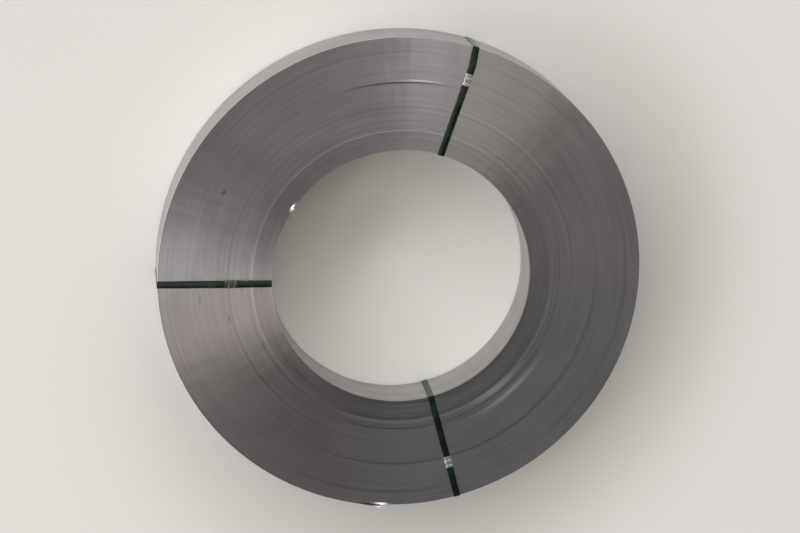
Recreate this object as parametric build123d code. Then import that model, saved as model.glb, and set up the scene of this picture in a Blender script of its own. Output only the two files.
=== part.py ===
from build123d import *
import os
from math import cos, degrees, sin

# A slit steel coil that lies flat, its eye upright, held by three plastic straps with crimped steel seals.
# The frame: millimetres, +Z up through the eye, the floor at z = 0, the coil's axis at x = y = 0.

# The wound strip
strip_width = 100.0
strip_thickness = 1.98
wrap_gap = 0.03
eye_radius = 254.0

# Groups of turns from the eye outwards: how many turns, and how many steps the group has slid up on the coil
slide_step = 0.05
turn_groups = (
    (3, 18), (8, 9), (8, 15), (4, 0), (6, 11),
    (13, 4), (24, 10), (29, 4), (14, 1), (1, 8),
)

# The strip's two ends
tail_angle = -95.0
tail_length = 62.0
lead_angle = 145.0
lead_ramp = 22.0

# Straps through the eye: how far each seal lies from the eye's edge, and the angle of each strap
seal_reach_1 = 155.0
seal_reach_2 = 79.0
seal_reach_3 = 143.0
strap_places = {"1": (72.1, seal_reach_1), "2": (180.0, seal_reach_2), "3": (-76.1, seal_reach_3)}
strap_width = 13.0
strap_thickness = 0.9
strap_bend = 0.3
strap_end = 12.0
strap_ease = 4.0
slope_radius = 12.0

# Seals
seal_length = 24.0
seal_wall = 0.6
seal_fold = 0.6
seal_slit = 1.6
notch_length = 4.2
notch_floor = 2.0
notch_depth = 1.5
notch_spacing = 10.5

# Clearances
strap_clearance = 0.15
seal_clearance = 0.10
layer_clearance = 0.05

# What follows from them
turn_pitch = strip_thickness + wrap_gap
outer_radius = eye_radius + turn_pitch * sum(turns for turns, steps in turn_groups)
coil_foot = strap_thickness + strap_clearance
coil_top = coil_foot + strip_width + slide_step * max(steps for turns, steps in turn_groups)
tail_room = tail_length**2 / outer_radius
lower_layer = coil_top + strap_clearance + seal_wall + seal_clearance + strap_thickness / 2
upper_layer = lower_layer + strap_thickness + layer_clearance
strap_bend_middle = strap_bend + strap_thickness / 2


def turned_profile():
    """Half section of the wound strip: every group of turns is one strip wide and stands at its own height."""
    radius = eye_radius
    upper, lower = [], []
    for turns, steps in turn_groups:
        foot = coil_foot + steps * slide_step
        reach = radius + turns * turn_pitch
        upper += [(radius, foot + strip_width), (reach, foot + strip_width)]
        lower += [(radius, foot), (reach, foot)]
        radius = reach
    # The last turn is turned oversize, because the outline of the tail trims it
    upper[-1] = (outer_radius + tail_room, upper[-1][1])
    lower[-1] = (outer_radius + tail_room, lower[-1][1])
    return Plane.XZ * make_face(Polyline(*upper, *reversed(lower), close=True))


def outer_outline():
    """Plan of the last turn: quarter arcs that grow by one turn in all, then the straight tail that stands off."""
    side = turn_pitch / 4
    half = side / 2
    corners = ((-half, half), (-half, -half), (half, -half), (half, half))
    arcs = []
    for quarter, corner in enumerate(corners):
        radius = outer_radius - turn_pitch + half + quarter * side
        arcs.append(CenterArc(corner, radius, 90 * quarter, 90))
    tail = Polyline(
        arcs[-1] @ 1,
        (outer_radius, half + tail_length),
        (outer_radius - strip_thickness, half + tail_length),
        (outer_radius - strip_thickness, half),
        arcs[0] @ 0,
    )
    root_angle = tail_angle - degrees(tail_length / outer_radius)
    return Rot(0, 0, root_angle) * make_face(Curve() + [*arcs, tail])


def lead_notch():
    """Plan of the wedge in the eye, where the second turn climbs over the square end of the first."""
    climb = -lead_ramp / eye_radius
    inside = eye_radius - turn_pitch
    notch = Polyline(
        (eye_radius + turn_pitch, 0),
        (eye_radius * cos(climb), eye_radius * sin(climb)),
        (inside * cos(climb), inside * sin(climb)),
        (inside, 0),
        close=True,
    )
    return Rot(0, 0, lead_angle) * make_face(notch)


def wound_coil():
    """The coil: one turned ring, trimmed to the plan of its last turn and notched at the strip's inner end."""
    height = coil_top + strip_width
    ring = revolve(turned_profile(), Axis.Z)
    return (ring & extrude(outer_outline(), height)) - extrude(lead_notch(), height)


def strap_path(seal_place):
    """Side view of one strap, from its lower end in the seal through the eye and round to its upper end."""
    eye_side = eye_radius - strap_clearance - strap_thickness / 2
    rim_side = outer_radius + strap_clearance + strap_thickness / 2
    floor_run = strap_thickness / 2
    face_run = coil_top + strap_clearance + strap_thickness / 2
    overlap = seal_length / 2 + strap_end
    return FilletPolyline(
        (seal_place + overlap, lower_layer),
        (seal_place - seal_length / 2 - strap_ease, lower_layer),
        (eye_side, face_run),
        (eye_side, floor_run),
        (rim_side, floor_run),
        (rim_side, face_run),
        (seal_place + overlap + strap_ease, upper_layer),
        (seal_place - overlap, upper_layer),
        radius=[slope_radius] + 4 * [strap_bend_middle] + [slope_radius],
    )


def notches(seal_place):
    """The bites of the crimping tool: two in each edge of a seal, through the seal and both layers of strap."""
    edge = strap_width / 2 + seal_clearance + seal_wall
    bite = Polygon(
        (-notch_length / 2, edge),
        (-notch_floor / 2, edge - notch_depth),
        (notch_floor / 2, edge - notch_depth),
        (notch_length / 2, edge),
        align=None,
    )
    places = Sketch() + [
        Pos(seal_place + way * notch_spacing / 2, 0) * turned
        for way in (-1, 1)
        for turned in (bite, mirror(bite, Plane.XZ))
    ]
    height = upper_layer - coil_top + strap_thickness + seal_wall
    return Pos(0, 0, coil_top) * extrude(places, height)


def strap(seal_place):
    """One strap: a flat band round the section of the coil, its two ends lying on each other in the seal."""
    band = extrude(Plane.XZ * trace(strap_path(seal_place), strap_thickness), strap_width / 2, both=True)
    return band - notches(seal_place)


def seal(seal_place):
    """One seal: sheet steel folded round both layers of strap, its edges facing each other underneath."""
    room_wide = strap_width + 2 * seal_clearance
    room_high = 2 * strap_thickness + layer_clearance + 2 * seal_clearance
    middle = (lower_layer + upper_layer) / 2
    outside = chamfer(Rectangle(room_wide + 2 * seal_wall, room_high + 2 * seal_wall).vertices(), seal_fold)
    inside = Rectangle(room_wide, room_high)
    slit = Pos(0, -room_high / 2) * Rectangle(seal_slit, 2 * seal_wall + seal_clearance)
    section = Plane.YZ * (outside - inside - slit)
    sleeve = Pos(seal_place, 0, middle) * extrude(section, seal_length / 2, both=True)
    return sleeve - notches(seal_place)


os.makedirs("parts", exist_ok=True)
export_step(wound_coil(), "parts/coil.step")
for number, (angle, distance) in strap_places.items():
    export_step(Rot(0, 0, angle) * strap(eye_radius + distance), f"parts/strap_{number}.step")
    export_step(Rot(0, 0, angle) * seal(eye_radius + distance), f"parts/seal_{number}.step")
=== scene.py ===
from math import cos, degrees, pi, radians, sin, tan

import bmesh
import bpy
from mathutils import Matrix, Vector


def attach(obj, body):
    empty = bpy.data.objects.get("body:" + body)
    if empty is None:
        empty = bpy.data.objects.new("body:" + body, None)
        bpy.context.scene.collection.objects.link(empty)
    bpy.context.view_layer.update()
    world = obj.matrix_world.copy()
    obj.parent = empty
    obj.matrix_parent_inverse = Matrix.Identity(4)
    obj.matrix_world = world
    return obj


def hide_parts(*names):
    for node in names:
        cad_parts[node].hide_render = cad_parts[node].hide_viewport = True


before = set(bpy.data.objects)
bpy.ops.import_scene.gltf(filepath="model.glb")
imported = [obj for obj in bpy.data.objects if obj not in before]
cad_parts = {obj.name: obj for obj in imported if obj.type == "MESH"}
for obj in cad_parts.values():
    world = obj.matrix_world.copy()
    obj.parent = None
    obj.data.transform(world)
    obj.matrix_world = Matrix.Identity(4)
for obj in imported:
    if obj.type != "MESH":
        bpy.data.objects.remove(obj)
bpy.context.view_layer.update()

MM = 0.001

# The strip, in millimetres and degrees, as the CAD part has it or a hair smaller, to stay inside its box
EYE_RADIUS = 254.0
OUTER_RADIUS = 475.0
STRIP_WIDTH = 100.0
STRIP_THICKNESS = 1.97
COIL_FOOT = 1.05
LEAD_ANGLE = 145.0
LEAD_RAMP = 22.0
TAIL_ANGLE = -95.0
TAIL_LENGTH = 61.9
FULL_TURNS = 109

# Seams between groups of turns: after which turn, how far the next group slid up, how wide the seam gapes
SEAMS = (
    (3, -0.45, 0.10), (11, 0.30, 0.12), (19, -0.75, 0.12), (23, 0.55, 0.20), (29, -0.35, 0.16),
    (42, 0.30, 0.14), (66, -0.30, 0.14), (95, -0.15, 0.10), (109, 0.35, 0.05),
)

# How far up the first group stands, and how much of a turn a seam runs over to each side
FIRST_SLIDE = 0.90
SEAM_RUN = 0.35

# Stretches with a painted highlight, each as where it is and how long, both in turns of the strip from its
# inner end, and how much: two arcs beside the lower strap, a turn between them, and the line beside the
# upper strap
PAINTED_HIGHLIGHT_TURNS = (
    (21.45, 0.030, 0.12), (22.45, 0.040, 0.28), (23.46, 0.050, 0.40), (24.46, 0.060, 0.44),
    (25.45, 0.050, 0.32), (26.45, 0.035, 0.14),
    (30.44, 0.030, 0.15),
    (32.47, 0.030, 0.12), (33.47, 0.040, 0.26), (34.46, 0.055, 0.44), (35.46, 0.070, 0.54),
    (36.47, 0.060, 0.44), (37.45, 0.045, 0.28), (38.45, 0.035, 0.12),
    (66.84, 0.026, 0.40), (67.83, 0.022, 0.70), (66.30, 0.060, 0.12),
)

# Stretches painted dark, in the same way: stains as specks and smudges, and painted shade along the bright
# line
STAIN_AND_SHADE_TURNS = (
    (44.13, 0.009, 0.40), (45.13, 0.008, 0.30), (65.02, 0.003, 0.50), (66.02, 0.004, 0.60),
    (67.02, 0.003, 0.40), (64.85, 0.050, 0.45), (65.85, 0.060, 0.75), (69.11, 0.006, 0.30),
    (70.11, 0.006, 0.30),
)

# In turns: how long the painted glints at the sheared ends are, how far the painted shade reaches from a
# seam, and where the darker groups end
SHEARED_END = 0.010
SEAM_SHADE_REACH = 0.75
INNER_GROUPS = 19.0

# How far the surface leans, as a share of its normal: out from turn to turn, along in the knife's strokes,
# up and down in the lines from the rolls, and at the sheared ends
TURN_SLOPE = 0.03
STROKE_SWING = 0.085
ROLL_LINE = 0.08
LEAD_SWING = 0.25
TAIL_SLOPE = -0.32
TAIL_SWING = -0.48

# How dark the painted shade in the lines between turns is, how much rougher a turn with a painted highlight
# is, and how dark stains on zinc are
GAP_SHADE = 0.75
HIGHLIGHT_ROUGHNESS = 0.3
ZINC_STAIN = 0.58

# Real sizes that the patterns are drawn to, in millimetres, and the rubbing strokes on zinc, so many a metre
MIDDLE_RADIUS = 364.0
BURR_WIDE = 0.28
OIL_PATCH = 110.0
RUB_PATCH = 30.0
WORN_EDGE = 1.04
DIAMOND = 1.4
SPANGLE = 2.5
STROKE_DEPTH = 0.08
STROKES = (900.0, 260.0, 900.0)

# A noise texture's values lie mostly between these
NOISE_SPAN = {"From Min": 0.3, "From Max": 0.7}

# The slit edge falls away to the outside, more so at the corner that the knife rolled over, in degrees and
# millimetres
EDGE_SLOPE = 20.0
CORNER_SLOPE = 34.0
CORNER_WIDE = 0.40

# How finely the turns are divided, how many keep the eye round, how far single turns stand out of line, and
# how squarely a face has to look out from the axis to be the rolled face
STATIONS_PER_TURN = 150
ROUND_TURNS = 30.0
RIPPLE = 0.10
ROLLED_FACING = 0.9

# Each strap: its angle, how far its seal lies from the eye, how far it lies to the side at the eye,
# the seal and the rim, how far the seal is turned, and the colour of its zinc: lighter on seals 1 and 3 as a
# painted highlight, darker on seal 2 as painted shade
STRAPS = {
    "1": (72.1, 155.0, (1.5, -2.3, 1.6), -1.5, "#D9D8D4"),
    "2": (180.0, 79.0, (4.2, 2.7, -0.6), -1.3, "#6A6967"),
    "3": (-76.1, 143.0, (-2.4, -1.2, -0.5), 0.5, "#E0DFDC"),
}

# Strapping, in millimetres: the band, the bends of its path, how far past the seal its ends and its slopes
# lie, how finely it is divided, how close to the coil it lies, and how high up the coil's face and rim and
# the two layers in the seal are
STRAP_WIDTH = 13.0
STRAP_THICKNESS = 0.9
STRAP_ROUND = 0.2
STRAP_BEND = 0.75
STRAP_END = 12.0
STRAP_EASE = 4.0
STRAP_STATION = 0.5
SLOPE_RADIUS = 12.0
STRAP_CLEARANCE = 0.15
FACE_HEIGHT = 101.95
RIM_HEIGHT = 101.45
LOWER_LAYER = 103.25
UPPER_LAYER = 104.20

# How many steps a bend of the strap and a rounded edge of its section have
BEND_STEPS = 8
EDGE_STEPS = 2

# Seals, in millimetres: sheet folded round both layers of strap, and pressed at four notches
SEAL_LENGTH = 24.0
SEAL_WALL = 0.6
SEAL_ROOM_WIDE = 13.2
SEAL_ROOM_HIGH = 2.05
SEAL_FOLD = 0.9
SEAL_SLIT = 1.6
NOTCH_LENGTH = 4.2
NOTCH_FLOOR = 2.0
NOTCH_DEPTH = 1.5
NOTCH_SPACING = 10.5
NOTCH_DIP = 0.35
SEAL_CROWN = 0.15

# How many steps a fold has, and where the bow of the strap ends, in half lengths of the seal
FOLD_STEPS = 4
CRIMP_FADE = 1.25


# How the turns lie: where the tail leaves the round, and how far one turn grows
root_angle = TAIL_ANGLE - degrees(TAIL_LENGTH / OUTER_RADIUS)
tail_from = FULL_TURNS + (root_angle + 360 - LEAD_ANGLE) / 360
tail_to = FULL_TURNS + (TAIL_ANGLE + 360 - LEAD_ANGLE) / 360
pitch = (OUTER_RADIUS - EYE_RADIUS - STRIP_THICKNESS - sum(gape for _, _, gape in SEAMS)) / tail_from


def colour(code):
    """Turn an sRGB hex colour into the linear colour that a shader socket takes."""
    levels = [int(code[i:i + 2], 16) / 255 for i in (1, 3, 5)]
    return [c / 12.92 if c <= 0.04045 else ((c + 0.055) / 1.055) ** 2.4 for c in levels] + [1.0]


def toward(azimuth, elevation=0.0):
    """The direction of an azimuth and an elevation, both in degrees."""
    around, up = radians(azimuth), radians(elevation)
    return Vector((cos(around) * cos(up), sin(around) * cos(up), sin(up)))


def add(tree, kind, inputs=None, **settings):
    """Add one node: settings are its properties, inputs its values or the nodes and sockets linked to it."""
    node = tree.nodes.new(kind)
    for name, value in settings.items():
        setattr(node, name, value)
    for key, value in (inputs or {}).items():
        if isinstance(value, bpy.types.Node):
            value = next(output for output in value.outputs if output.enabled)
        if isinstance(value, bpy.types.NodeSocket):
            tree.links.new(value, node.inputs[key])
        else:
            node.inputs[key].default_value = value
    return node


def new_tree(name, sizes):
    """Start a geometry tree with a named input for each size, and return it with its inputs."""
    tree = bpy.data.node_groups.new(name, "GeometryNodeTree")
    tree.interface.new_socket("Geometry", in_out="INPUT", socket_type="NodeSocketGeometry")
    tree.interface.new_socket("Geometry", in_out="OUTPUT", socket_type="NodeSocketGeometry")
    kinds = {bpy.types.Material: "Material", int: "Int", float: "Float"}
    for size, value in sizes.items():
        kind = next(word for type_, word in kinds.items() if isinstance(value, type_))
        tree.interface.new_socket(size, in_out="INPUT", socket_type="NodeSocket" + kind)
    return tree, add(tree, "NodeGroupInput").outputs


def mark_across(tree, section):
    """Store on a section how far each of its points lies from its middle, for the materials."""
    side = add(tree, "ShaderNodeSeparateXYZ", {0: add(tree, "GeometryNodeInputPosition")}).outputs["X"]
    return add(tree, "GeometryNodeStoreNamedAttribute",
               {"Geometry": section, "Name": "across", "Value": side}, data_type="FLOAT", domain="POINT")


def grow(name, mesh, tree, sizes, wall=0.0):
    """Run a geometry tree on a base mesh, give it a wall, and return the plain mesh as a piece."""
    piece = bpy.data.objects.new(name, mesh)
    bpy.context.scene.collection.objects.link(piece)
    modifier = piece.modifiers.new(tree.name, "NODES")
    modifier.node_group = tree
    for item in tree.interface.items_tree:
        if item.in_out == "INPUT" and item.name in sizes:
            modifier[item.identifier] = sizes[item.name]
    if wall:
        sheet = piece.modifiers.new("wall", "SOLIDIFY")
        sheet.thickness = wall
        sheet.offset = 0.0
        sheet.use_even_offset = True
    depsgraph = bpy.context.evaluated_depsgraph_get()
    grown = bpy.data.meshes.new_from_object(
        piece.evaluated_get(depsgraph), preserve_all_data_layers=True, depsgraph=depsgraph
    )
    piece.modifiers.clear()
    piece.data = grown
    return piece


def finish_piece(piece, node, sharp):
    """Shade a piece, with edges sharper than an angle left crisp, and let it stand for its CAD node."""
    piece.data.shade_smooth()
    piece.data.set_sharp_from_angle(angle=radians(sharp))
    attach(piece, "root")
    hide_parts(node)


def line_mesh(name, points, closed=False):
    """Edges through points, as a section or a path that a tree sweeps."""
    mesh = bpy.data.meshes.new(name)
    count = len(points)
    mesh.from_pydata(points, [(i, (i + 1) % count) for i in range(count if closed else count - 1)], [])
    return mesh


def principled(name):
    """Start a material: the material, its tree and its shader."""
    material = bpy.data.materials.new(name)
    material.use_nodes = True
    return material, material.node_tree, material.node_tree.nodes["Principled BSDF"]


# Materials

def round_the_coil(tree):
    """A point of the coil, its distance from the axis, the way out from the axis and the way along."""
    place = add(tree, "ShaderNodeTexCoord").outputs["Object"]
    flat = add(tree, "ShaderNodeVectorMath", {0: place, 1: (1, 1, 0)}, operation="MULTIPLY")
    reach = add(tree, "ShaderNodeVectorMath", {0: flat}, operation="LENGTH").outputs["Value"]
    outward = add(tree, "ShaderNodeVectorMath", {0: flat}, operation="NORMALIZE")
    along = add(tree, "ShaderNodeVectorMath", {0: (0, 0, 1), 1: outward}, operation="CROSS_PRODUCT")
    return place, reach, outward, along


def stretched_noise(tree, outward, depth, arc, band, detail=2.0):
    """Noise in patches that are as long round the coil as arc and as wide as band, both in millimetres."""
    around = add(tree, "ShaderNodeVectorMath", {0: outward, "Scale": MIDDLE_RADIUS / arc}, operation="SCALE")
    across = add(tree, "ShaderNodeMath", {0: depth, 1: 1 / (band * MM)}, operation="MULTIPLY")
    across = add(tree, "ShaderNodeCombineXYZ", {2: across})
    both = add(tree, "ShaderNodeVectorMath", {0: around, 1: across}, operation="ADD")
    return add(tree, "ShaderNodeTexNoise", {"Vector": both, "Scale": 1.0, "Detail": detail}).outputs["Fac"]


def near(tree, value, middle, reach):
    """One where a value lies at the middle, and falling to zero a reach away on both sides."""
    off = add(tree, "ShaderNodeMath", {0: value, 1: middle}, operation="SUBTRACT")
    off = add(tree, "ShaderNodeMath", {0: off}, operation="ABSOLUTE")
    return add(tree, "ShaderNodeMapRange", {"Value": off, "From Max": reach, "To Min": 1.0, "To Max": 0.0},
               interpolation_type="SMOOTHSTEP")


def marked_turns(tree, turn, marks):
    """Marks on single turns, each given as where it is, how long, both in turns, and how much."""
    return total(tree, [(near(tree, turn, middle, length), share) for middle, length, share in marks])


def total(tree, parts):
    """Add up a list of values, each with its share."""
    result = 0.0
    for part, share in parts:
        result = add(tree, "ShaderNodeMath", {0: part, 1: share, 2: result}, operation="MULTIPLY_ADD")
    return result


def leaned(tree, leans):
    """The surface's normal, leaned over along some directions, each by its own amount."""
    normal = add(tree, "ShaderNodeNewGeometry").outputs["Normal"]
    for way, amount in leans:
        lean = add(tree, "ShaderNodeVectorMath", {0: way, "Scale": amount}, operation="SCALE")
        normal = add(tree, "ShaderNodeVectorMath", {0: normal, 1: lean}, operation="ADD")
    return add(tree, "ShaderNodeVectorMath", {0: normal}, operation="NORMALIZE").outputs[0]


def slit_edge_steel():
    """Cold-rolled steel as the slitting knives leave it: half bright, in fine strokes, with a film of oil.

    The turns differ a little in tone and slope. Shade is painted along the seams between groups of them and
    in the lines between turns, and some turns and the sheared ends are painted bright as highlights.
    """
    material, tree, shader = principled("Slit edge of cold rolled steel")
    place, reach, outward, along = round_the_coil(tree)
    turn = add(tree, "ShaderNodeAttribute", attribute_name="turn").outputs["Fac"]

    per_turn = add(tree, "ShaderNodeTexNoise", {"W": turn, "Scale": 0.35, "Detail": 3.0},
                   noise_dimensions="1D")
    arcs = stretched_noise(tree, outward, reach, arc=170.0, band=9.0, detail=1.0)
    film = add(tree, "ShaderNodeTexNoise", {"Vector": place, "Scale": 1 / (OIL_PATCH * MM), "Detail": 4.0})
    # Painted shade along the seams between groups of turns, broken up by the arcs' noise
    seam_shade = total(tree, [(near(tree, turn, after - SEAM_RUN, SEAM_SHADE_REACH), 1.0) for after, _, _ in SEAMS])
    seam_shade = add(tree, "ShaderNodeMath", {0: seam_shade, 1: arcs}, operation="MULTIPLY")
    darker = add(tree, "ShaderNodeMapRange", {
        "Value": turn, "From Min": INNER_GROUPS - 1, "From Max": INNER_GROUPS, "To Min": 1.0, "To Max": 0.0,
    })
    tone = total(tree, [(per_turn, 0.4), (arcs, 0.5), (film, 0.5), (seam_shade, -0.3), (darker, -0.22)])
    tone = add(tree, "ShaderNodeMapRange", {"Value": tone, "From Min": 0.05, "From Max": 1.35})

    # Stains, and painted shade in the lines between turns, at each turn's rolled over corner and at the burr
    # on its eye side
    across = add(tree, "ShaderNodeAttribute", attribute_name="across").outputs["Fac"]
    outside = STRIP_THICKNESS / 2
    corner = add(tree, "ShaderNodeMapRange", {
        "Value": across, "From Min": (outside - CORNER_WIDE) * MM, "From Max": outside * MM,
    })
    burr = near(tree, across, -outside * MM, BURR_WIDE * MM)
    gap = total(tree, [(corner, 1.0), (burr, 1.0)])
    # Real stains, and painted shade along the bright line
    stained = marked_turns(tree, turn, STAIN_AND_SHADE_TURNS)
    dark = add(tree, "ShaderNodeMath", {0: gap, 1: GAP_SHADE, 2: stained},
               operation="MULTIPLY_ADD", use_clamp=True)

    # Painted highlights: the turns listed above, and a glint painted at each sheared end and on the two
    # turns beside it
    rubbed = marked_turns(tree, turn, PAINTED_HIGHLIGHT_TURNS)
    lead = total(tree, [(near(tree, turn, beside, SHEARED_END), 1.0) for beside in (0, 1, 2)])
    tail = total(tree, [(near(tree, turn, tail_to - beside, SHEARED_END), 1.0) for beside in (0, 1, 2)])
    bright = total(tree, [(rubbed, 1.0), (lead, 1.0), (tail, 1.0)])
    bright = add(tree, "ShaderNodeMath", {0: bright, 1: 1.0}, operation="MINIMUM")
    base = add(tree, "ShaderNodeMix", {"Factor": tone, "A": colour("#848080"), "B": colour("#B7B2B2")},
               data_type="RGBA")
    base = add(tree, "ShaderNodeMix", {"Factor": dark, "A": base, "B": colour("#3F3A38")}, data_type="RGBA")
    base = add(tree, "ShaderNodeMix", {"Factor": bright, "A": base, "B": colour("#EFECE9")},
               data_type="RGBA")
    tree.links.new(base.outputs["Result"], shader.inputs["Base Color"])

    # No metal here is smoother than 0.28: a denoiser takes one under 0.275 for a mirror and smears its rings
    rough = add(tree, "ShaderNodeMapRange", {"Value": film, **NOISE_SPAN, "To Min": 0.28, "To Max": 0.31})
    rough = add(tree, "ShaderNodeMath", {0: rubbed, 1: HIGHLIGHT_ROUGHNESS, 2: rough}, operation="MULTIPLY_ADD")
    tree.links.new(rough.outputs[0], shader.inputs["Roughness"])

    # Each turn's edge slopes a little otherwise, and the knife's strokes across it, drawn far coarser than
    # the real half millimetre, swing it to and fro
    slope = add(tree, "ShaderNodeTexNoise", {"W": turn, "Scale": 0.5, "Detail": 2.0}, noise_dimensions="1D")
    strokes = stretched_noise(tree, outward, reach, arc=12.0, band=110.0, detail=3.0)
    slope = total(tree, [(slope, TURN_SLOPE), (tail, TAIL_SLOPE), (1.0, -TURN_SLOPE / 2)])
    swing = total(tree, [
        (strokes, STROKE_SWING), (lead, LEAD_SWING), (tail, TAIL_SWING), (1.0, -STROKE_SWING / 2),
    ])
    tree.links.new(leaned(tree, [(outward, slope), (along, swing)]), shader.inputs["Normal"])
    shader.inputs["Metallic"].default_value = 1.0
    return material


def rolled_steel():
    """Cold-rolled strip face: bright and smooth, with faint lines from the rolls along it and wiped oil."""
    material, tree, shader = principled("Rolled face of cold rolled steel")
    place, _, outward, _ = round_the_coil(tree)
    height = add(tree, "ShaderNodeSeparateXYZ", {0: place}).outputs["Z"]
    bands = stretched_noise(tree, outward, height, arc=600.0, band=7.0, detail=5.0)
    film = stretched_noise(tree, outward, height, arc=120.0, band=45.0, detail=3.0)
    tone = total(tree, [(bands, 0.6), (film, 0.4)])
    tone = add(tree, "ShaderNodeMapRange", {"Value": tone, **NOISE_SPAN})
    base = add(tree, "ShaderNodeMix", {"Factor": tone, "A": colour("#959493"), "B": colour("#B8B6B4")},
               data_type="RGBA")
    tree.links.new(base.outputs["Result"], shader.inputs["Base Color"])
    rough = add(tree, "ShaderNodeMapRange", {"Value": film, **NOISE_SPAN, "To Min": 0.28, "To Max": 0.36})
    tree.links.new(rough.outputs[0], shader.inputs["Roughness"])
    upright = add(tree, "ShaderNodeCombineXYZ", {2: 1.0})
    tree.links.new(upright.outputs[0], shader.inputs["Tangent"])
    lines = stretched_noise(tree, outward, height, arc=900.0, band=2.5, detail=3.0)
    lines = total(tree, [(lines, ROLL_LINE), (1.0, -ROLL_LINE / 2)])
    tree.links.new(leaned(tree, [(upright, lines)]), shader.inputs["Normal"])
    shader.inputs["Metallic"].default_value = 1.0
    shader.inputs["Anisotropic"].default_value = 0.6
    return material


def polyester_strapping():
    """Extruded polyester strapping: dark green, half gloss, embossed in diamonds, dull where it rubbed."""
    material, tree, shader = principled("Dark green polyester strapping")
    place = add(tree, "ShaderNodeTexCoord").outputs["Object"]
    along = add(tree, "ShaderNodeAttribute", attribute_name="along").outputs["Fac"]
    across = add(tree, "ShaderNodeAttribute", attribute_name="across").outputs["Fac"]
    ridges = []
    for way in (-1.0, 1.0):
        slant = add(tree, "ShaderNodeMath", {0: across, 1: way, 2: along}, operation="MULTIPLY_ADD")
        ridges.append(add(tree, "ShaderNodeMath", {0: slant, 1: DIAMOND * MM}, operation="PINGPONG"))
    height = add(tree, "ShaderNodeMath", {0: ridges[0], 1: ridges[1]}, operation="MINIMUM")
    bump = add(tree, "ShaderNodeBump", {"Height": height, "Distance": 1.0, "Strength": 0.10})
    tree.links.new(bump.outputs[0], shader.inputs["Normal"])
    rub = add(tree, "ShaderNodeTexNoise", {"Vector": place, "Scale": 1 / (RUB_PATCH * MM), "Detail": 5.0})
    rub = add(tree, "ShaderNodeMapRange", {"Value": rub, "From Min": 0.48, "From Max": 0.72})
    edge = add(tree, "ShaderNodeMath", {0: across}, operation="ABSOLUTE")
    edge = add(tree, "ShaderNodeMapRange", {
        "Value": edge, "From Min": (STRAP_WIDTH / 2 - WORN_EDGE) * MM, "From Max": STRAP_WIDTH / 2 * MM,
    })
    worn = add(tree, "ShaderNodeMath", {0: edge, 1: 0.6, 2: rub}, operation="MULTIPLY_ADD", use_clamp=True)
    base = add(tree, "ShaderNodeMix", {"Factor": worn, "A": colour("#03120A"), "B": colour("#0B2817")},
               data_type="RGBA")
    tree.links.new(base.outputs["Result"], shader.inputs["Base Color"])
    rough = add(tree, "ShaderNodeMapRange", {"Value": worn, "To Min": 0.18, "To Max": 0.34})
    tree.links.new(rough.outputs[0], shader.inputs["Roughness"])
    return material


def zinc_coated_steel(number, shade):
    """Thin sheet steel with a zinc coat: small spangles, rubbed in strokes and a little stained."""
    material, tree, shader = principled("Zinc coated steel of seal " + number)
    place = add(tree, "ShaderNodeTexCoord").outputs["Object"]
    spangles = add(tree, "ShaderNodeTexVoronoi", {"Vector": place, "Scale": 1 / (SPANGLE * MM)})
    spangle = add(tree, "ShaderNodeSeparateColor", {0: spangles.outputs["Color"]}).outputs["Red"]
    stain = add(tree, "ShaderNodeTexNoise",
                {"Vector": place, "Scale": 1 / (SPANGLE * 2 * MM), "Detail": 5.0})
    tone = total(tree, [(spangle, 0.35), (stain, 0.9)])
    tone = add(tree, "ShaderNodeMapRange", {"Value": tone, "From Min": 0.35, "From Max": 0.95})
    # Each seal's colour: lighter on seals 1 and 3 as a painted highlight, darker on seal 2 as painted shade
    light = colour(shade)
    dark = [level * ZINC_STAIN for level in light[:3]] + [1.0]
    base = add(tree, "ShaderNodeMix", {"Factor": tone, "A": dark, "B": light}, data_type="RGBA")
    tree.links.new(base.outputs["Result"], shader.inputs["Base Color"])
    rough = add(tree, "ShaderNodeMapRange", {"Value": spangle, "To Min": 0.34, "To Max": 0.50})
    tree.links.new(rough.outputs[0], shader.inputs["Roughness"])
    strokes = add(tree, "ShaderNodeVectorMath", {0: place, 1: STROKES}, operation="MULTIPLY")
    strokes = add(tree, "ShaderNodeTexNoise", {"Vector": strokes, "Scale": 1.0, "Detail": 4.0})
    bump = add(tree, "ShaderNodeBump",
               {"Height": strokes, "Distance": STROKE_DEPTH * MM, "Strength": 1.0})
    tree.links.new(bump.outputs[0], shader.inputs["Normal"])
    shader.inputs["Metallic"].default_value = 1.0
    return material


# The wound strip

def strip_section():
    """Section of the strip: both slit edges fall away to the outside, and their outer corners more so."""
    half_thick, half_wide = STRIP_THICKNESS / 2, STRIP_WIDTH / 2
    corner = half_thick - CORNER_WIDE
    knee = half_wide - (corner + half_thick) * tan(radians(EDGE_SLOPE))
    foot = knee - CORNER_WIDE * tan(radians(CORNER_SLOPE))
    points = (
        (-half_thick, -half_wide), (corner, -knee), (half_thick, -foot),
        (half_thick, foot), (corner, knee), (-half_thick, half_wide),
    )
    return line_mesh("strip section", [(x * MM, y * MM, 0) for x, y in points], closed=True)


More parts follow.
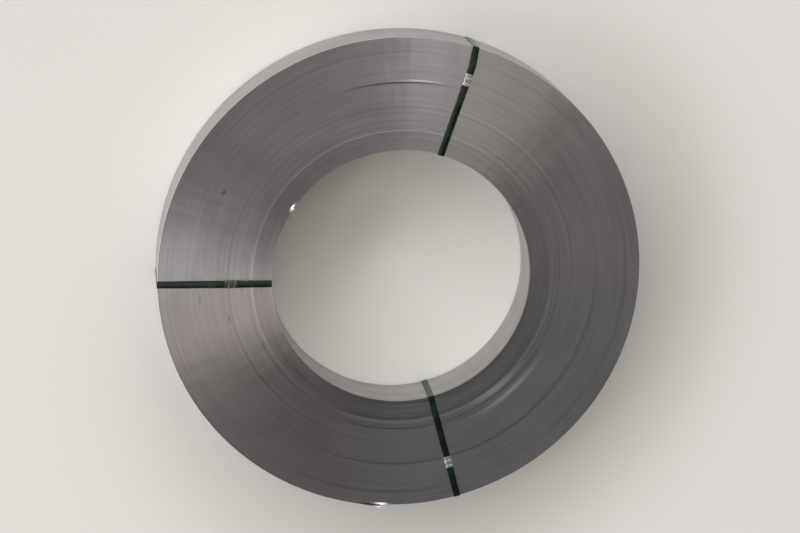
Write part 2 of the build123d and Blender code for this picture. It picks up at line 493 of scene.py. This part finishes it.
def winding_tree(sizes):
    """Wind a section into a coil whose first turns keep the eye round and whose tail stands off."""
    tree, size = new_tree("Wind the strip", sizes)
    line = add(tree, "GeometryNodeCurvePrimitiveLine")
    stations = add(tree, "GeometryNodeResampleCurve", {"Curve": line, "Count": size["Stations"]})
    index = add(tree, "GeometryNodeInputIndex")
    turn = add(tree, "ShaderNodeMath", {0: index, 1: size["Stations per Turn"]}, operation="DIVIDE")

    # The first turns are round and climb over the strip's end in a short ramp; further out they grow evenly
    layer = add(tree, "ShaderNodeMath", {0: turn}, operation="FLOOR")
    share = add(tree, "ShaderNodeMath", {0: turn}, operation="FRACT")
    climb = add(tree, "ShaderNodeMapRange", {"Value": share, "From Min": size["Climb From"]})
    stair = add(tree, "ShaderNodeMath", {0: layer, 1: climb}, operation="ADD")
    roundness = add(tree, "ShaderNodeMapRange",
                    {"Value": turn, "From Max": size["Round Turns"], "To Min": 1.0, "To Max": 0.0})
    layers = add(tree, "ShaderNodeMapRange", {"Value": roundness, "To Min": turn, "To Max": stair})
    radius = add(tree, "ShaderNodeMath", {0: layers, 1: size["Pitch"], 2: size["First Radius"]},
                 operation="MULTIPLY_ADD")

    # At each seam the next group of turns stands higher or lower, with a little more gap
    height = size["First Height"]
    for after, slide, gape in SEAMS:
        seam = {"Value": turn, "From Min": after - SEAM_RUN, "From Max": after + SEAM_RUN}
        slid = add(tree, "ShaderNodeMapRange", {**seam, "To Max": slide * MM},
                   interpolation_type="SMOOTHSTEP")
        height = add(tree, "ShaderNodeMath", {0: height, 1: slid}, operation="ADD")
        gaped = add(tree, "ShaderNodeMapRange", {**seam, "To Max": gape * MM},
                    interpolation_type="SMOOTHSTEP")
        radius = add(tree, "ShaderNodeMath", {0: radius, 1: gaped}, operation="ADD")

    # Single turns stand a little high or low
    uneven = add(tree, "ShaderNodeTexNoise", {"W": turn, "Scale": 1.3, "Detail": 2.0}, noise_dimensions="1D")
    uneven = add(tree, "ShaderNodeMapRange", {
        "Value": uneven, "From Min": 0.2, "From Max": 0.8, "To Min": size["Ripple"], "To Max": 0.0,
    })
    height = add(tree, "ShaderNodeMath", {0: height, 1: uneven}, operation="SUBTRACT")

    # The tail runs on straight, so its distance grows as one over the cosine
    past_root = add(tree, "ShaderNodeMath", {0: turn, 1: size["Tail From"]}, operation="SUBTRACT")
    past_root = add(tree, "ShaderNodeMath", {0: past_root, 1: 0.0}, operation="MAXIMUM")
    swing = add(tree, "ShaderNodeMath", {0: past_root, 1: 2 * pi}, operation="MULTIPLY")
    straight = add(tree, "ShaderNodeMath", {0: swing}, operation="COSINE")
    radius = add(tree, "ShaderNodeMath", {0: radius, 1: straight}, operation="DIVIDE")

    angle = add(tree, "ShaderNodeMath", {0: turn, 1: 2 * pi, 2: size["Lead Angle"]},
                operation="MULTIPLY_ADD")
    cosine = add(tree, "ShaderNodeMath", {0: angle}, operation="COSINE")
    sine = add(tree, "ShaderNodeMath", {0: angle}, operation="SINE")
    x = add(tree, "ShaderNodeMath", {0: radius, 1: cosine}, operation="MULTIPLY")
    y = add(tree, "ShaderNodeMath", {0: radius, 1: sine}, operation="MULTIPLY")
    place = add(tree, "ShaderNodeCombineXYZ", {0: x, 1: y, 2: height})
    spiral = add(tree, "GeometryNodeSetPosition", {"Geometry": stations, "Position": place})
    spiral = add(tree, "GeometryNodeStoreNamedAttribute",
                 {"Geometry": spiral, "Name": "turn", "Value": turn}, data_type="FLOAT", domain="POINT")
    spiral = add(tree, "GeometryNodeSetCurveNormal", {"Curve": spiral}, mode="Z_UP")

    section = mark_across(tree, add(tree, "GeometryNodeMeshToCurve", {"Mesh": size["Geometry"]}))
    strip = add(tree, "GeometryNodeCurveToMesh",
                {"Curve": spiral, "Profile Curve": section, "Fill Caps": True})
    strip = add(tree, "GeometryNodeRealizeInstances", {"Geometry": strip})

    # Faces that look straight out from the axis, or at it, are the rolled face; all the others were cut
    normal = add(tree, "GeometryNodeInputNormal")
    position = add(tree, "GeometryNodeInputPosition")
    flat = add(tree, "ShaderNodeVectorMath", {0: position, 1: (1, 1, 0)}, operation="MULTIPLY")
    outward = add(tree, "ShaderNodeVectorMath", {0: flat}, operation="NORMALIZE")
    facing = add(tree, "ShaderNodeVectorMath", {0: normal, 1: outward}, operation="DOT_PRODUCT")
    facing = add(tree, "ShaderNodeMath", {0: facing.outputs["Value"]}, operation="ABSOLUTE")
    on_face = add(tree, "ShaderNodeMath", {0: facing, 1: ROLLED_FACING}, operation="GREATER_THAN")
    strip = add(tree, "GeometryNodeSetMaterial", {"Geometry": strip, "Material": size["Slit Edge"]})
    strip = add(tree, "GeometryNodeSetMaterial",
                {"Geometry": strip, "Selection": on_face, "Material": size["Rolled Face"]})
    add(tree, "NodeGroupOutput", {"Geometry": strip})
    return tree


def wound_strip():
    """The coil: one strip from its square end in the eye to its tail, which lies straight and stands off."""
    sizes = {
        "Stations": round(tail_to * STATIONS_PER_TURN) + 1,
        "Stations per Turn": float(STATIONS_PER_TURN),
        "Climb From": 1 - LEAD_RAMP / (2 * pi * EYE_RADIUS),
        "Round Turns": ROUND_TURNS,
        "Pitch": pitch * MM,
        "First Radius": (EYE_RADIUS + STRIP_THICKNESS / 2) * MM,
        "First Height": (COIL_FOOT + FIRST_SLIDE + STRIP_WIDTH / 2) * MM,
        "Ripple": RIPPLE * MM,
        "Tail From": tail_from,
        "Lead Angle": radians(LEAD_ANGLE),
        "Slit Edge": slit_edge_steel(),
        "Rolled Face": rolled_steel(),
    }
    piece = grow("wound_strip", strip_section(), winding_tree(sizes), sizes)
    finish_piece(piece, "coil", sharp=8)


# Straps and seals, each made along its seal's own length and then laid in place

CRIMP = {
    "Above": STRIP_WIDTH * MM,
    "Half Length": SEAL_LENGTH / 2 * MM,
    "Half Width": (SEAL_ROOM_WIDE / 2 + SEAL_WALL) * MM,
    "Depth": NOTCH_DEPTH * MM,
    "Dip": NOTCH_DIP * MM,
    "Crown": SEAL_CROWN * MM,
    "Half Spacing": NOTCH_SPACING / 2 * MM,
    "Half Floor": NOTCH_FLOOR / 2 * MM,
    "Half Notch": NOTCH_LENGTH / 2 * MM,
}


def crimp_tree():
    """What the crimping jaws do to a seal and the straps in it: four notches, and a slight bow across."""
    tree, size = new_tree("Crimp", CRIMP)
    position = add(tree, "GeometryNodeInputPosition")
    along, across, up = add(tree, "ShaderNodeSeparateXYZ", {0: position}).outputs
    on_top = add(tree, "ShaderNodeMath", {0: up, 1: size["Above"]}, operation="GREATER_THAN")
    edge = add(tree, "ShaderNodeMath", {0: across, 1: size["Half Width"]}, operation="DIVIDE")
    reach = add(tree, "ShaderNodeMath", {0: along}, operation="ABSOLUTE")

    off_notch = add(tree, "ShaderNodeMath", {0: reach, 1: size["Half Spacing"]}, operation="SUBTRACT")
    off_notch = add(tree, "ShaderNodeMath", {0: off_notch}, operation="ABSOLUTE")
    bite = add(tree, "ShaderNodeMapRange", {
        "Value": off_notch, "From Min": size["Half Floor"], "From Max": size["Half Notch"],
        "To Min": on_top, "To Max": 0.0,
    })
    pinch = add(tree, "ShaderNodeMath", {0: edge, 1: bite}, operation="MULTIPLY")
    pinch = add(tree, "ShaderNodeMath", {0: pinch, 1: size["Depth"]}, operation="MULTIPLY")

    fade = add(tree, "ShaderNodeMath", {0: size["Half Length"], 1: CRIMP_FADE}, operation="MULTIPLY")
    held = add(tree, "ShaderNodeMapRange", {
        "Value": reach, "From Min": size["Half Length"], "From Max": fade, "To Min": on_top, "To Max": 0.0,
    })
    bow = add(tree, "ShaderNodeMath", {0: edge, 1: edge}, operation="MULTIPLY")
    bow = add(tree, "ShaderNodeMath", {0: bow, 1: held}, operation="MULTIPLY")
    bow = add(tree, "ShaderNodeMath", {0: bow, 1: size["Crown"]}, operation="MULTIPLY")
    press = add(tree, "ShaderNodeMath", {0: bite, 1: size["Dip"], 2: bow}, operation="MULTIPLY_ADD")

    shift = add(tree, "ShaderNodeCombineXYZ", {1: pinch, 2: press})
    shift = add(tree, "ShaderNodeVectorMath", {0: shift, "Scale": -1.0}, operation="SCALE")
    pressed = add(tree, "GeometryNodeSetPosition", {"Geometry": size["Geometry"], "Offset": shift})
    add(tree, "NodeGroupOutput", {"Geometry": pressed})
    return tree


crimp = crimp_tree()


def strap_tree(sizes):
    """Run a flat band along a path with rounded corners, and crimp it where the seal holds it."""
    tree, size = new_tree("Lay the strap", sizes)
    path = add(tree, "GeometryNodeMeshToCurve", {"Mesh": size["Geometry"]})
    bend = add(tree, "GeometryNodeInputNamedAttribute", {"Name": "bend"}, data_type="FLOAT")
    path = add(tree, "GeometryNodeFilletCurve", {"Curve": path, "Radius": bend, "Count": BEND_STEPS},
               mode="POLY")
    path = add(tree, "GeometryNodeResampleCurve", {"Curve": path, "Length": size["Station"]}, mode="LENGTH")
    sine = add(tree, "ShaderNodeMath", {0: size["Seal Turn"]}, operation="SINE")
    cosine = add(tree, "ShaderNodeMath", {0: size["Seal Turn"]}, operation="COSINE")
    side = add(tree, "ShaderNodeCombineXYZ", {0: sine, 1: cosine})
    path = add(tree, "GeometryNodeSetCurveNormal", {"Curve": path, "Normal": side}, mode="FREE")
    length = add(tree, "GeometryNodeSplineParameter").outputs["Length"]
    path = add(tree, "GeometryNodeStoreNamedAttribute",
               {"Geometry": path, "Name": "along", "Value": length}, data_type="FLOAT", domain="POINT")
    section = add(tree, "GeometryNodeCurvePrimitiveQuadrilateral",
                  {"Width": size["Width"], "Height": size["Thickness"]})
    section = add(tree, "GeometryNodeFilletCurve",
                  {"Curve": section, "Radius": size["Edge Radius"], "Count": EDGE_STEPS}, mode="POLY")
    section = mark_across(tree, section)
    band = add(tree, "GeometryNodeCurveToMesh", {"Curve": path, "Profile Curve": section, "Fill Caps": True})
    crimps = {name: size[name] for name in CRIMP}
    band = add(tree, "GeometryNodeGroup", {"Geometry": band, **crimps}, node_tree=crimp)
    band = add(tree, "GeometryNodeRealizeInstances", {"Geometry": band})
    band = add(tree, "GeometryNodeSetMaterial", {"Geometry": band, "Material": size["Material"]})
    add(tree, "NodeGroupOutput", {"Geometry": band})
    return tree


def seal_tree(sizes):
    """Draw a folded sheet out to a sleeve, and crimp it."""
    tree, size = new_tree("Fold the seal", sizes)
    half = add(tree, "ShaderNodeCombineXYZ", {0: size["Half Length"]})
    start = add(tree, "ShaderNodeVectorMath", {0: half, "Scale": -1.0}, operation="SCALE")
    path = add(tree, "GeometryNodeCurvePrimitiveLine", {"Start": start, "End": half})
    path = add(tree, "GeometryNodeResampleCurve", {"Curve": path, "Length": size["Station"]}, mode="LENGTH")
    section = add(tree, "GeometryNodeMeshToCurve", {"Mesh": size["Geometry"]})
    sleeve = add(tree, "GeometryNodeCurveToMesh", {"Curve": path, "Profile Curve": section})
    lift = add(tree, "ShaderNodeCombineXYZ", {2: size["Middle"]})
    sleeve = add(tree, "GeometryNodeSetPosition", {"Geometry": sleeve, "Offset": lift})
    crimps = {name: size[name] for name in CRIMP}
    sleeve = add(tree, "GeometryNodeGroup", {"Geometry": sleeve, **crimps}, node_tree=crimp)
    sleeve = add(tree, "GeometryNodeRealizeInstances", {"Geometry": sleeve})
    sleeve = add(tree, "GeometryNodeSetMaterial", {"Geometry": sleeve, "Material": size["Material"]})
    add(tree, "NodeGroupOutput", {"Geometry": sleeve})
    return tree


def strap_path(seal_place, sides, turn, rim_radius):
    """Points and bend radii of one strap, as seen from its seal: x along the seal, y to its side."""
    at_eye, at_seal, at_rim = sides
    slope = tan(radians(turn))
    ease, end = SEAL_LENGTH / 2 + STRAP_EASE, SEAL_LENGTH / 2 + STRAP_END
    half = STRAP_THICKNESS / 2
    eye_side = EYE_RADIUS - STRAP_CLEARANCE - half
    rim_side = rim_radius + STRAP_CLEARANCE + half
    route = (
        (seal_place + end, at_seal + end * slope, LOWER_LAYER, 0.0),
        (seal_place - ease, at_seal - ease * slope, LOWER_LAYER, SLOPE_RADIUS),
        (eye_side, at_eye, FACE_HEIGHT + STRAP_CLEARANCE + half, STRAP_BEND),
        (eye_side, at_eye, half, STRAP_BEND),
        (rim_side, at_rim, half, STRAP_BEND),
        (rim_side, at_rim, RIM_HEIGHT + STRAP_CLEARANCE + half, STRAP_BEND),
        (seal_place + end + STRAP_EASE, at_seal + (end + STRAP_EASE) * slope, UPPER_LAYER, SLOPE_RADIUS),
        (seal_place - end, at_seal - end * slope, UPPER_LAYER, 0.0),
    )
    to_seal = Matrix.Rotation(-radians(turn), 4, "Z") @ Matrix.Translation((-seal_place, -at_seal, 0))
    mesh = line_mesh("strap path", [(to_seal @ Vector((x, y, z))) * MM for x, y, z, _ in route])
    mesh.attributes.new("bend", "FLOAT", "POINT").data.foreach_set("value", [b * MM for *_, b in route])
    return mesh


def seal_section():
    """The folded sheet's middle line, from one lip round over the top to the other lip."""
    half_wide = (SEAL_ROOM_WIDE + SEAL_WALL) / 2
    half_high = (SEAL_ROOM_HIGH + SEAL_WALL) / 2
    points = [(SEAL_SLIT / 2, half_high)]
    for quarter, (way_x, way_y) in enumerate(((1, 1), (1, -1), (-1, -1), (-1, 1))):
        for step in range(FOLD_STEPS + 1):
            angle = radians(90 - 90 * (quarter + step / FOLD_STEPS))
            points.append((way_x * (half_wide - SEAL_FOLD) + SEAL_FOLD * cos(angle),
                           way_y * (half_high - SEAL_FOLD) + SEAL_FOLD * sin(angle)))
    points.append((-SEAL_SLIT / 2, half_high))
    return line_mesh("seal section", [(x * MM, y * MM, 0) for x, y in points])


def straps_and_seals():
    """Three straps through the eye, each with its crimped seal on the upper face."""
    plastic = polyester_strapping()
    for number, (angle, reach, sides, turn, shade) in STRAPS.items():
        seal_place = EYE_RADIUS + reach
        rim_radius = OUTER_RADIUS - pitch * ((root_angle - angle) % 360) / 360
        lay = (Matrix.Rotation(radians(angle), 4, "Z")
               @ Matrix.Translation((seal_place * MM, sides[1] * MM, 0))
               @ Matrix.Rotation(radians(turn), 4, "Z"))
        sizes = {
            "Width": STRAP_WIDTH * MM, "Thickness": STRAP_THICKNESS * MM, "Edge Radius": STRAP_ROUND * MM,
            "Station": STRAP_STATION * MM, "Seal Turn": radians(turn), "Material": plastic, **CRIMP,
        }
        strap = grow("strap_band_" + number, strap_path(seal_place, sides, turn, rim_radius),
                     strap_tree(sizes), sizes)
        sizes = {
            "Station": STRAP_STATION * MM, "Middle": (LOWER_LAYER + UPPER_LAYER) / 2 * MM,
            "Material": zinc_coated_steel(number, shade), **CRIMP,
        }
        seal = grow("seal_sleeve_" + number, seal_section(), seal_tree(sizes), sizes, wall=SEAL_WALL * MM)
        for piece, node, slot in ((strap, "strap_", "polyester_strap"), (seal, "seal_", "zinc_coated_seal")):
            piece.data.transform(lay)
            finish_piece(piece, node + number, sharp=35)


wound_strip()
straps_and_seals()


# The floor

FLOOR_RADIUS = 9.0

floor_mesh = bpy.data.meshes.new("studio floor")
shape = bmesh.new()
bmesh.ops.create_circle(shape, cap_ends=True, segments=128, radius=FLOOR_RADIUS)
shape.to_mesh(floor_mesh)
shape.free()
floor = bpy.data.objects.new("studio_floor", floor_mesh)
bpy.context.scene.collection.objects.link(floor)
paint, tree, shader = principled("Matt floor paint")
shader.inputs["Base Color"].default_value = colour("#D8D4CE")
shader.inputs["Roughness"].default_value = 0.75
floor_mesh.materials.append(paint)


# Light: a dim room with a broad low window to the north west, a black flag over the straps, and soft boxes
# hung around the coil. Levels are strengths of the background, sides are azimuths in degrees, and a rise and
# the reach on both sides of it are sines of elevations.

# The window: its level, its side, the cosines to that side between which it comes up, and its rise
WINDOW_LEVEL = 7.7
WINDOW_SIDE = 140.0
WINDOW_SPAN = {"From Min": -0.60, "From Max": 0.66}
WINDOW_RISE = 0.36
WINDOW_REACH = 0.24
WINDOW_TINT = (0.94, 1.0, 1.05, 1.0)

# The room: its level, how much more it has on its lighter side, and its band of light at the horizon
ROOM_LEVEL = 0.28
ROOM_SLANT = 0.30
ROOM_SIDE = 80.0
ROOM_TINT = (1.02, 1.0, 0.98, 1.0)
HORIZON_LEVEL = 0.9
HORIZON_REACH = 0.14

# The flag, where the flat straps mirror the sky: its azimuth and elevation, and how far the cosine of the
# angle to it falls before it ends
FLAG_LEVEL = 0.06
FLAG_PLACE = (294.0, 73.0)
FLAG_REACH = 0.11

world = bpy.data.worlds.new("studio")
bpy.context.scene.world = world
world.use_nodes = True
tree = world.node_tree
direction = add(tree, "ShaderNodeTexCoord").outputs["Generated"]
rise = add(tree, "ShaderNodeSeparateXYZ", {0: direction}).outputs["Z"]
to_window, to_room, to_flag = [
    add(tree, "ShaderNodeVectorMath", {0: direction, 1: way}, operation="DOT_PRODUCT").outputs["Value"]
    for way in (toward(WINDOW_SIDE), toward(ROOM_SIDE), toward(*FLAG_PLACE))
]
window = add(tree, "ShaderNodeMapRange", {"Value": to_window, **WINDOW_SPAN},
             interpolation_type="SMOOTHSTEP")
window = add(tree, "ShaderNodeMath", {0: window, 1: near(tree, rise, WINDOW_RISE, WINDOW_REACH)},
             operation="MULTIPLY")
level = total(tree, [(window, WINDOW_LEVEL), (to_room, ROOM_SLANT), (1.0, ROOM_LEVEL)])
flag = near(tree, to_flag, 1.0, FLAG_REACH)
level = add(tree, "ShaderNodeMapRange", {"Value": flag, "To Min": level, "To Max": FLAG_LEVEL})
horizon = near(tree, rise, 0.0, HORIZON_REACH)
level = add(tree, "ShaderNodeMapRange", {"Value": horizon, "To Min": level, "To Max": HORIZON_LEVEL})
tree.links.new(level.outputs[0], tree.nodes["Background"].inputs["Strength"])
tint = add(tree, "ShaderNodeMix", {"Factor": window, "A": ROOM_TINT, "B": WINDOW_TINT}, data_type="RGBA")
tree.links.new(tint.outputs["Result"], tree.nodes["Background"].inputs["Color"])

# Each soft box: its azimuth, its distance from the coil's axis, its width and height, its strength and tint.
# All face the coil. Power goes with area, so that the same strength looks as bright at any size.
LAMP_HEIGHT = 3.0
LAMPS = {
    "north east high": (33.2, 1.54, 0.66, 1.99, 0.70, "warm"),
    "north east": (49.5, 2.67, 0.60, 0.65, 0.95, "plain"),
    "north": (70.0, 2.60, 0.60, 0.60, 3.2, "plain"),
    "west": (191.5, 3.60, 1.05, 0.55, 6.8, "cool"),
    "south west": (215.5, 1.47, 1.00, 3.20, 1.15, "warm"),
}
TINTS = {"warm": (1.10, 1.0, 0.90), "cool": (0.98, 1.0, 1.05), "plain": (1.0, 1.0, 1.0)}
for name, (azimuth, distance, wide, high, strength, tone) in LAMPS.items():
    light = bpy.data.lights.new("soft box " + name, "AREA")
    light.shape = "RECTANGLE"
    light.size, light.size_y = wide, high
    light.energy = strength * pi * wide * high
    light.color = TINTS[tone]
    soft_box = bpy.data.objects.new("soft box " + name, light)
    soft_box.location = toward(azimuth) * distance + Vector((0, 0, LAMP_HEIGHT))
    soft_box.rotation_mode = "QUATERNION"
    soft_box.rotation_quaternion = soft_box.location.to_track_quat("Z", "Y")
    bpy.context.scene.collection.objects.link(soft_box)


# The camera looks down on the coil from where the photograph was taken

VIEW_TILT = 17.0
VIEW_AZIMUTH = 113.9
VIEW_DISTANCE = 4.7
VIEW_LENS = 108.0
AIM = Vector((0.0, 0.016, 0.08))

back = toward(VIEW_AZIMUTH, 90 - VIEW_TILT)
right = Vector((0, 1, 0)).cross(back).normalized()
up = back.cross(right)
camera = bpy.data.objects.new("camera", bpy.data.cameras.new("camera"))
camera.data.lens = VIEW_LENS
camera.matrix_world = (Matrix.Translation(AIM + back * VIEW_DISTANCE)
                       @ Matrix((right, up, back)).transposed().to_4x4())
bpy.context.scene.collection.objects.link(camera)
bpy.context.scene.camera = camera
bpy.context.scene.view_settings.view_transform = "Standard"
